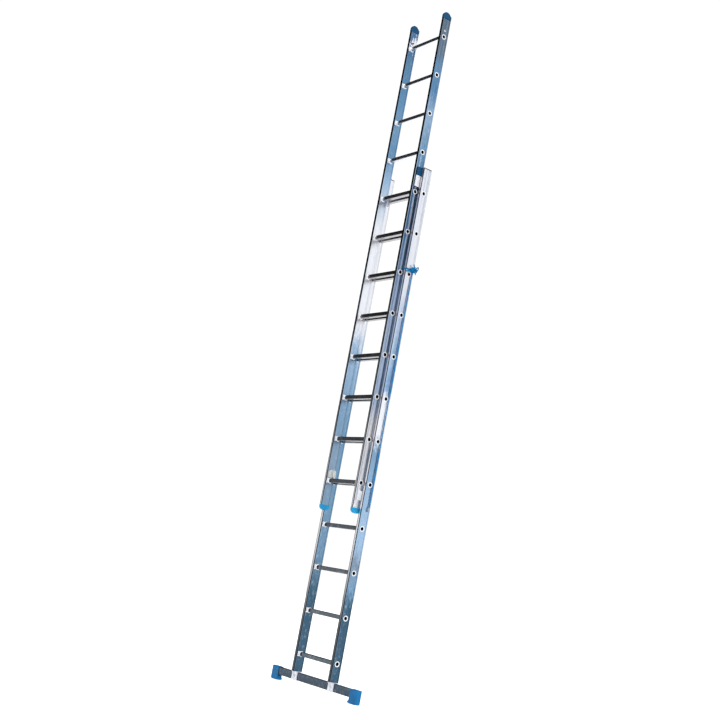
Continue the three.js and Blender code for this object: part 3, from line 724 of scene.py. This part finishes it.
KNOT_AT = Vector((BASE_HI.x + 11 * MM, 42 * MM, 2749 * MM))
KNOT_LOOP_R = 13 * MM
KNOT_CROSS_R = 5.5 * MM
KNOT_STEPS = 66
KNOT_OPEN = 0.04
SECOND_SHIFT = Vector((5 * MM, 11 * MM, 6 * MM))
SECOND_TILT = 1.1
TURN_HEIGHT = 2744 * MM
TURN_SLANT = 9 * MM
TURN_CORNER = 5 * MM
TURN_CLEAR = 0.6 * MM
FRAY_STEPS = 4
FRAY_THIN = 0.45


def knot_line(centre, tilt):
    """An overhand knot flat against the stile, opened at one place for its two ends."""
    line = []
    for i in range(KNOT_STEPS + 1):
        t = TURN * (KNOT_OPEN + (1 - 2 * KNOT_OPEN) * i / KNOT_STEPS)
        reach = KNOT_LOOP_R + KNOT_CROSS_R * math.cos(3 * t)
        flat = (reach * math.cos(2 * t + tilt), reach * math.sin(2 * t + tilt))
        line.append(centre + Vector((KNOT_CROSS_R * math.sin(3 * t), *flat)))
    return line


def stile_turn(height, slant):
    """One turn of rope round the right-hand stile, rising from back to front."""
    half = ROPE_D / 2 + TURN_CLEAR
    corner = TURN_CORNER
    x0, x1 = BASE_LO.x - half, BASE_HI.x + half
    y0, y1 = BASE_LO.y - half, BASE_HI.y + half
    flat = [
        *arc(x1 - corner, y1 - corner, corner, 0, 90, 4),
        *arc(x0 + corner, y1 - corner, corner, 90, 180, 4),
        *arc(x0 + corner, y0 + corner, corner, 180, 270, 4),
        *arc(x1 - corner, y0 + corner, corner, 270, 360, 4),
        (x1, y1 - 3 * corner),
    ]
    count = len(flat) - 1
    return [Vector((x, y, height + slant * i / count)) for i, (x, y) in enumerate(flat)]


def rope_knot():
    """The turn round the stile, two overhand knots, a small bight and two loose ends."""
    turn = smooth_path(stile_turn(TURN_HEIGHT, TURN_SLANT), ROPE_STEP)
    knot = knot_line(KNOT_AT, 0)
    second = knot_line(KNOT_AT + SECOND_SHIFT, SECOND_TILT)
    lead_in = millimetres((224, 20, 2742), (222, 6, 2738), (219.5, -6, 2735))
    upper_end = millimetres((230, 46, 2768), (232, 43, 2780), (231, 36, 2789))
    bight = millimetres(
        (230, 52, 2758), (232, 66, 2772), (231, 76, 2780), (229, 80, 2772), (230, 76, 2760),
        (232, 66, 2752), (230, 56, 2744),
    )
    lower_end = millimetres((230, 52, 2744), (230, 62, 2735), (228, 66, 2724))
    parts = [
        rope_mesh("turn", turn),
        rope_mesh("core", smooth_path(knot, ROPE_STEP)),
        rope_mesh("second", smooth_path(second, ROPE_STEP)),
        rope_mesh("lead", smooth_path([knot[0], *lead_in], ROPE_STEP)),
        frayed("upper", [knot[-1], *upper_end]),
        rope_mesh("bight", smooth_path(bight, ROPE_STEP)),
        frayed("lower", [second[-1], *lower_end]),
    ]
    piece = new_piece("rope_knot_tied", joined("rope_knot_tied", *parts), ROPE_BLUE, "base", 60)
    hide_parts("rope_knot")
    return piece


def frayed(name, points):
    """A loose end of rope that thins a little at its cut tip."""
    path = smooth_path(points, ROPE_STEP)
    count = len(path)
    taper = [1 - FRAY_THIN * max(0.0, 1 - (count - i) / FRAY_STEPS) for i in range(count)]
    return rope_mesh(name, path, taper)


def rope_tail(knot):
    """Down the outer face of the right-hand stile from the knot to the cleat."""
    middle = (TAIL_LO + TAIL_HI) / 2
    heights = (TAIL_HI.z, middle.z, TAIL_LO.z)
    path = smooth_path([Vector((middle.x, middle.y, z)) for z in heights], ROPE_STEP)
    piece = new_piece("rope_tail_laid", rope_mesh("rope_tail_laid", path), ROPE_BLUE, "base", 60)
    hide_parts("rope_tail")


rope_haul()
rope_fall()
rope_tail(rope_knot())


# ---- Floor and light ----
FLOOR_REACH = 30
FLOOR_GLOW = 0.55
SKY_SEEN = 1.05
SKY_SHED = 1.15
BRIGHT_SIDE = (0.82, 0.57, 0)
BRIGHT_FROM = -0.25
BRIGHT_TO = 0.55
# Each sun's name, the way it lies, its strength, and its spread in degrees.
SUNS = (("key", (0.55, -0.62, 0.75), 1.25, 30), ("top", (-0.1, 0.2, 1), 0.9, 60))
# Colours of what the sky sheds, by height from the horizon up.
FRONT_SKY = [
    (0.0, (0.80, 0.82, 0.86)), (0.05, (0.70, 0.72, 0.76)), (0.10, (0.16, 0.17, 0.19)),
    (0.16, (0.02, 0.022, 0.025)), (0.6, (0.004, 0.004, 0.005)), (1.0, (0.60, 0.62, 0.66)),
]
BACK_SKY = [(0.0, (0.95, 0.97, 1.0)), (0.4, (0.98, 1.0, 1.0)), (1.0, (0.75, 0.78, 0.82))]


def make_floor():
    corners = rectangle(-FLOOR_REACH, FLOOR_REACH, -FLOOR_REACH, FLOOR_REACH)
    mesh = mesh_of("floor", [(x, y, 0) for x, y in corners], [(0, 1, 2, 3)])
    floor = bpy.data.objects.new("floor", mesh)
    bpy.context.scene.collection.objects.link(floor)
    tree = Tree("floor")
    speck = tree.noise((3, 3, 3), 2)
    tree.shader.inputs["Emission Color"].default_value = (1, 1, 1, 1)
    tree.shader.inputs["Emission Strength"].default_value = FLOOR_GLOW
    tone = tree.ramp(speck, [(0.3, grey(0.86)), (0.7, grey(0.9))])
    tree.finish(tone, tree.span(speck, 0, 1, 0.7, 0.9))
    mesh.materials.append(tree.material)


def make_sky():
    """White to the camera. What it sheds on the ladder is bright behind on the climber's right, and
    in front it is pale at the horizon and dark above it."""
    world = bpy.data.worlds.new("studio")
    bpy.context.scene.world = world
    world.use_nodes = True
    tree = world.node_tree
    tree.nodes.clear()
    new = tree.nodes.new
    link = tree.links.new
    output = new("ShaderNodeOutputWorld")
    seen = new("ShaderNodeBackground")
    seen.inputs["Color"].default_value = (1, 1, 1, 1)
    seen.inputs["Strength"].default_value = SKY_SEEN
    shed = new("ShaderNodeBackground")
    shed.inputs["Strength"].default_value = SKY_SHED
    pick = new("ShaderNodeMixShader")
    rays = new("ShaderNodeLightPath")
    direction = new("ShaderNodeTexCoord")
    parts = new("ShaderNodeSeparateXYZ")
    link(direction.outputs["Generated"], parts.inputs[0])
    across = new("ShaderNodeVectorMath")
    across.operation = "DOT_PRODUCT"
    across.inputs[1].default_value = BRIGHT_SIDE
    link(direction.outputs["Generated"], across.inputs[0])
    side = new("ShaderNodeMapRange")
    side.interpolation_type = "SMOOTHSTEP"
    side.inputs["From Min"].default_value = BRIGHT_FROM
    side.inputs["From Max"].default_value = BRIGHT_TO
    link(across.outputs["Value"], side.inputs["Value"])
    front = colour_ramp(tree, parts.outputs["Z"], FRONT_SKY)
    behind = colour_ramp(tree, parts.outputs["Z"], BACK_SKY)
    blend = new("ShaderNodeMix")
    blend.data_type = "RGBA"
    link(side.outputs["Result"], blend.inputs[0])
    link(front, blend.inputs[6])
    link(behind, blend.inputs[7])
    link(blend.outputs[2], shed.inputs["Color"])
    link(rays.outputs["Is Camera Ray"], pick.inputs[0])
    link(shed.outputs[0], pick.inputs[1])
    link(seen.outputs[0], pick.inputs[2])
    link(pick.outputs[0], output.inputs["Surface"])


def make_sun(name, source, strength, spread):
    """A soft light from a direction, even over the whole height of the ladder."""
    data = bpy.data.lights.new(name, "SUN")
    data.energy = strength
    data.angle = math.radians(spread)
    light = bpy.data.objects.new(name, data)
    bpy.context.scene.collection.objects.link(light)
    light.rotation_euler = (-Vector(source)).to_track_quat("-Z", "Y").to_euler()


make_floor()
make_sky()
for sun in SUNS:
    make_sun(*sun)
bpy.context.scene.view_settings.view_transform = "Standard"


# ---- Rungs: ribbed square tube with swaged collars and flared, open ends ----
RUNG_HALF = 13.5 * MM
RUNG_CORNER = 2.2 * MM
RUNG_RIBS = 5
RIB_DEEP = 0.5 * MM
SIDE_POINTS = 15
CORNER_POINTS = 3
SHANK_R = 12.7 * MM
BORE_R = 11 * MM
RING_R = 18 * MM
RING_EDGE = 0.3 * MM
COLLAR_THICK = 6 * MM
NECK_R = 14.6 * MM
MOUTH_R = 12.6 * MM
RIBS_STOP = 14 * MM  # before the collar
SQUARE_STOP = 9 * MM
TAB_HALF = 16 * MM
TAB_CLEAR = 0.4 * MM
BASE_TAB_THICK = 0.25 * MM  # thin, because the fly slides past it
FLY_TAB_THICK = 1.2 * MM


def square_section(ribs):
    """Points (y, z) round the rung's rounded square; its top and underside carry grip ribs."""
    flat = RUNG_HALF - RUNG_CORNER
    points = []
    for side in range(4):
        turn = Matrix.Rotation(math.radians(-90 * side), 2)
        for i in range(SIDE_POINTS):
            t = -1 + 2 * i / (SIDE_POINTS - 1)
            wave = (0.5 - 0.5 * math.cos(TURN * RUNG_RIBS * (t + 1) / 2)) * (1 - side % 2)
            points.append(turn @ Vector((flat * t, RUNG_HALF - RIB_DEEP * wave * ribs)))
        for i in range(1, CORNER_POINTS + 1):
            angle = math.radians(90 - 90 * i / (CORNER_POINTS + 1))
            corner = (flat + RUNG_CORNER * math.cos(angle), flat + RUNG_CORNER * math.sin(angle))
            points.append(turn @ Vector(corner))
    return points


def round_section(radius):
    """The same count of points on a circle, each at the angle of its point on the square."""
    return [point.normalized() * radius for point in square_section(0)]


def rung_tube(name, core, end, collar_in, web, ring_back):
    """The tube from its middle out along its skin to the flared end, then back inside its bore."""
    half = [
        (0.0, square_section(1)),
        (collar_in - RIBS_STOP, square_section(1)),
        (collar_in - SQUARE_STOP, square_section(0)),
        (collar_in - 1.2 * MM, round_section(NECK_R)),
        (collar_in, round_section(RING_R - 2 * MM)),
        (collar_in + 1.0 * MM, round_section(RING_R - 0.4 * MM)),
        (collar_in + 2.4 * MM, round_section(RING_R)),
        (web - GAP, round_section(RING_R)),
        (web - GAP, round_section(SHANK_R)),
        (ring_back, round_section(SHANK_R)),
        (ring_back, round_section(RING_R - RING_EDGE)),
        (ring_back + 0.5 * MM, round_section(RING_R)),
        (end - 0.7 * MM, round_section(RING_R - RING_EDGE)),
        (end - 0.1 * MM, round_section(RING_R - 1.6 * MM)),
        (end, round_section(NECK_R)),
        (end - 0.4 * MM, round_section(MOUTH_R)),
        (end - 1.6 * MM, round_section(BORE_R + 0.5 * MM)),
        (end - 4 * MM, round_section(BORE_R)),
        (0.0, round_section(BORE_R)),
    ]
    other_half = [(-x, section) for x, section in reversed(half[1:-1])]
    rings = [
        [(x, core.y + point.x, core.z + point.y) for point in section]
        for x, section in (*half, *other_half)
    ]
    return rings_mesh(name, rings, closed=True)


def rung_tab(core, web, thick, front, side):
    """The bright pressed plate in front of a rung's end, flat on the stile's inner web."""
    outline = rectangle(front, core.y, core.z - TAB_HALF, core.z + TAB_HALF)
    return mirrored(prism("tab", outline, "x", web - GAP - thick, web - GAP, thick / 3), side)


def make_rungs(section, body, low, high, tab_thick):
    """Each rung is one object: the ribbed tube, its bright swaged ends and their plates."""
    tab_front = low.y + LIP_DEEP + TAB_CLEAR
    web = low.x + LIP_PROUD
    collar_in = low.x - COLLAR_THICK
    ring_back = high.x - LIP_PROUD + GAP
    for number in range(1, RUNGS + 1):
        node = f"{section}_rung_{number:02d}"
        core = middle_of(node)
        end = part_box(node)[1].x
        tube = rung_tube(f"{node}_tube", core, end, collar_in, web, ring_back)
        tabs = [rung_tab(core, web, tab_thick, tab_front, side) for side, _ in SIDES]
        mesh = joined(f"{node}_ribbed", tube, *tabs)
        piece = new_piece(f"{node}_ribbed", mesh, RUNG_METAL, body, 32)
        piece.data.materials.append(RING_METAL)
        piece.data.materials.append(BORE_PAINTED_SHADE)
        for face in piece.data.polygons:
            off = face.center - core
            # Faces inside the bore take the painted shade.
            if math.hypot(off.y, off.z) < BORE_R + GAP:
                face.material_index = 2
            elif abs(off.x) > collar_in - 2 * MM:
                face.material_index = 1
        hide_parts(node)


make_rungs("base", "base", BASE_LO, BASE_HI, BASE_TAB_THICK)
make_rungs("fly", "fly", FLY_LO, FLY_HI, FLY_TAB_THICK)


# ---- CAD nodes that keep their shape: softened edges and a finish of their own ----
BEVEL_ANGLE = 28
FLAT_ANGLE = 0.6
WELD = 0.001 * MM


def soften(node, material, width, segments):
    """Rounds a carried-over node's edges without touching its mesh, and gives it a finish."""
    piece = NODES[node]
    weld = piece.modifiers.new("weld", "WELD")
    weld.merge_threshold = WELD
    flat = piece.modifiers.new("flat", "DECIMATE")
    flat.decimate_type = "DISSOLVE"
    flat.angle_limit = math.radians(FLAT_ANGLE)
    bevel = piece.modifiers.new("edges", "BEVEL")
    bevel.width = width * MM
    bevel.segments = segments
    bevel.limit_method = "ANGLE"
    bevel.angle_limit = math.radians(BEVEL_ANGLE)
    bevel.harden_normals = False
    piece.data.materials.clear()
    piece.data.materials.append(material)


# Each node's finish, the width of its rounded edges in millimetres, and their segments.
PAIRED_FINISHES = (
    ("bar_bracket", CAST_METAL, 0.9, 3),
    ("bar_bolt", ZINC, 0.5, 2),
    ("guide_plate", CAST_METAL, 0.5, 2),
    ("latch_hook", ZINC, 0.8, 3),
    ("latch_plate", ZINC, 0.4, 2),
    ("fly_guide", PALE_NYLON, 0.8, 2),
    ("top_guide", CAP_BLUE, 1.2, 3),
    ("base_top_cap", DARK_PLASTIC, 0.8, 2),
    ("fly_top_cap", CAP_BLUE, 2.5, 4),
    ("fly_bottom_cap", SHOE_BLUE, 2.5, 4),
    ("foot", FOOT_BLUE, 1.8, 4),
)
SINGLE_FINISHES = (
    ("stabiliser_bar", BAR_METAL, 0.6, 2),
    ("pulley_bracket", ZINC, 0.4, 2),
    ("pulley_pin", ZINC, 0.4, 2),
    ("pulley_wheel", DARK_PLASTIC, 0.5, 2),
    ("rope_anchor", ZINC, 0.5, 2),
    ("rope_cleat", CLEAT_METAL, 1.0, 2),
)
STILE_EDGE = 0.6
STILE_SEGMENTS = 2

for _, hand in SIDES:
    for section in ("base", "fly"):
        metal = STILE_METALS[f"{section}_{hand}"]
        soften(f"{section}_stile_{hand}", metal, STILE_EDGE, STILE_SEGMENTS)
    for name, material, width, segments in PAIRED_FINISHES:
        soften(f"{name}_{hand}", material, width, segments)
for row in SINGLE_FINISHES:
    soften(*row)


# ---- Fixings and small fittings ----
RIVET_R = 4.2 * MM
RIVET_TALL = 1.6 * MM
RIVET_INSET = 14 * MM
SCREW_RISE = 63 * MM  # from the underside of the top rung's end
WASHER_R = 7.5 * MM
SCREW_R = 3.6 * MM
SCREW_TALL = 1.0 * MM
SCREW_PROUD = 0.9 * MM
NUT_R = 6 * MM
NUT_TALL = 3 * MM


def place_rivets(name, body, material, spots, radius, tall):
    """Domed heads on a stile's side faces. Each spot is (x, y, z, facing)."""
    heads = [rivet(Vector((x, y, z)), "x", facing, radius, tall) for x, y, z, facing in spots]
    new_piece(name, joined(name, *heads), material, body, 40)


def guide_rivets(side, hand):
    """Two rivets in the guide plate and one in the guide block above it."""
    x = side * (BASE_HI.x - LIP_PROUD)
    heights = (GUIDE_LO.z + RIVET_INSET, GUIDE_HI.z - RIVET_INSET, TOP_GUIDE.z)
    spots = [(x, 2 * MM, z, side) for z in heights]
    place_rivets(f"guide_rivets_{hand}", "base", ZINC, spots, RIVET_R, RIVET_TALL)


def cap_fixings(side, hand):
    """The washer and screw of a top cap outside the fly's stile, and its nuts inside."""
    outer = side * (FLY_HI.x - LIP_PROUD)
    inner = side * (FLY_LO.x + LIP_PROUD)
    y, z = TOP_FLY_RUNG.y, TOP_FLY_RUNG_FOOT + SCREW_RISE
    proud = outer + side * SCREW_PROUD
    nuts = [(inner, y + (9 * k - 4) * MM, z + 5 * k * MM, -side) for k in (-1, 0, 1)]
    place_rivets(
        f"cap_washer_{hand}", "fly", RING_METAL, [(outer, y, z, side)], WASHER_R, SCREW_TALL
    )
    place_rivets(
        f"cap_screw_{hand}", "fly", DARK_STEEL, [(proud, y, z, side)], SCREW_R, SCREW_TALL
    )
    place_rivets(f"cap_nuts_{hand}", "fly", DARK_STEEL, nuts, NUT_R, NUT_TALL)


WIRE_R = 1.9 * MM
WIRE_STEP = 2.5 * MM
WIRE_SIDES = 10
SPRING_CLEAR = 4.5 * MM
SPRING_BENDS = ((-42, 4), (-37, -17), (-20, -8), (-6, -6), (-2, 17))


def wire_mesh(name, points, side=None):
    """Round wire bent along a path. side is the first ring's starting direction."""
    path = smooth_path(points, WIRE_STEP)
    rings = []
    for i, point in enumerate(path):
        ahead = (path[min(i + 1, len(path) - 1)] - path[max(i - 1, 0)]).normalized()
        side = side or ahead.orthogonal().normalized()
        side = (side - ahead * side.dot(ahead)).normalized()
        other = ahead.cross(side)
        circle = arc(0, 0, WIRE_R, 0, 360, WIRE_SIDES)[:-1]
        rings.append([point + side * a + other * b for a, b in circle])
    return rings_mesh(name, rings)


def guide_spring(side, hand):
    """The dark wire spring below each guide plate that steadies the fly's side face."""
    name = f"guide_spring_{hand}"
    x = side * (FLY_HI.x + SPRING_CLEAR)
    wire = [Vector((x, y * MM, GUIDE_LO.z + z * MM)) for y, z in SPRING_BENDS]
    mesh = wire_mesh(name, wire, Vector((1, 0, 0)))
    new_piece(name, mesh, DARK_STEEL, "base", 50)


for side, hand in SIDES:
    guide_rivets(side, hand)
    cap_fixings(side, hand)

for side, hand in SIDES:
    guide_spring(side, hand)


# ---- The clip on the top base rung, by the left-hand stile, with its wire keeper ----
CLIP_X = (-184 * MM, -150 * MM)
CLIP_THICK = 1.6 * MM
CLIP_SUNK = 0.15 * MM
TONGUE_X = (-162 * MM, -130 * MM)
TONGUE_DROP = 26 * MM
CLIP_RIVETS = ((CLIP_X[1] - 7 * MM, 3 * MM), (TONGUE_X[1] - 9 * MM, -24 * MM))
CLIP_RIVET_R = 4 * MM
CLIP_RIVET_TALL = 1.8 * MM
KEEPER_BENDS = (
    (-186, 22, 15), (-188, 14, 26), (-189, 12, 44), (-189, 16, 60), (-189, 22, 50), (-188, 24, 30),
    (-184, 26, 15),
)


def rung_clip():
    """A saddle under the rung with a tongue that hangs from its front."""
    reach = RUNG_HALF + CLIP_THICK
    y0, y1 = TOP_BASE_RUNG.y - reach, TOP_BASE_RUNG.y + reach
    low, top = TOP_BASE_RUNG.z - reach, TOP_BASE_RUNG.z + RUNG_HALF
    wall = CLIP_THICK - CLIP_SUNK
    saddle = [
        (y0, top), (y0, low), (y1, low), (y1, top),
        (y1 - wall, top), (y1 - wall, low + wall), (y0 + wall, low + wall), (y0 + wall, top),
    ]
    tongue = rectangle(y0, y0 + CLIP_THICK, low - TONGUE_DROP, low + CLIP_THICK)
    mesh = joined(
        "rung_clip",
        prism("saddle", saddle, "x", *CLIP_X, 0.5 * MM, 2),
        prism("tongue", tongue, "x", *TONGUE_X, 0.6 * MM, 2),
    )
    new_piece("rung_clip", mesh, RING_METAL, "base", 40)
    heads = [
        rivet(Vector((x, y0, TOP_BASE_RUNG.z + up)), "y", -1, CLIP_RIVET_R, CLIP_RIVET_TALL)
        for x, up in CLIP_RIVETS
    ]
    rivets = joined("rung_clip_rivets", *heads)
    new_piece("rung_clip_rivets", rivets, DARK_STEEL, "base", 40)
    bends = [Vector((x * MM, y * MM, TOP_BASE_RUNG.z + z * MM)) for x, y, z in KEEPER_BENDS]
    keeper = wire_mesh("rung_clip_keeper", bends)
    new_piece("rung_clip_keeper", keeper, DARK_STEEL, "base", 50)


rung_clip()


# ---- The saddles' thick pads, over the bar's full height on each side of their bolts ----
PAD_WIDE = 17 * MM
PAD_PROUD = 7.5 * MM
PAD_BELOW = 4 * MM
PAD_ROUND = 2 * MM


def saddle_pads(side, hand):
    """Two pads to a saddle. They end clear of the fly's bottom caps, which come down in front of them."""
    name = f"saddle_pads_{hand}"
    back = BAR_LO.y - GAP
    pads = []
    for x0, x1 in ((BASE_LO.x - PAD_WIDE, BASE_LO.x), (BASE_HI.x, BASE_HI.x + PAD_WIDE)):
        face = rectangle(x0, x1, BAR_LO.z - PAD_BELOW, BAR_HI.z + MM)
        pads.append(mirrored(prism("pad", face, "y", back - PAD_PROUD, back, PAD_ROUND), side))
    new_piece(name, joined(name, *pads), CAST_METAL, "base")


for side, hand in SIDES:
    saddle_pads(side, hand)
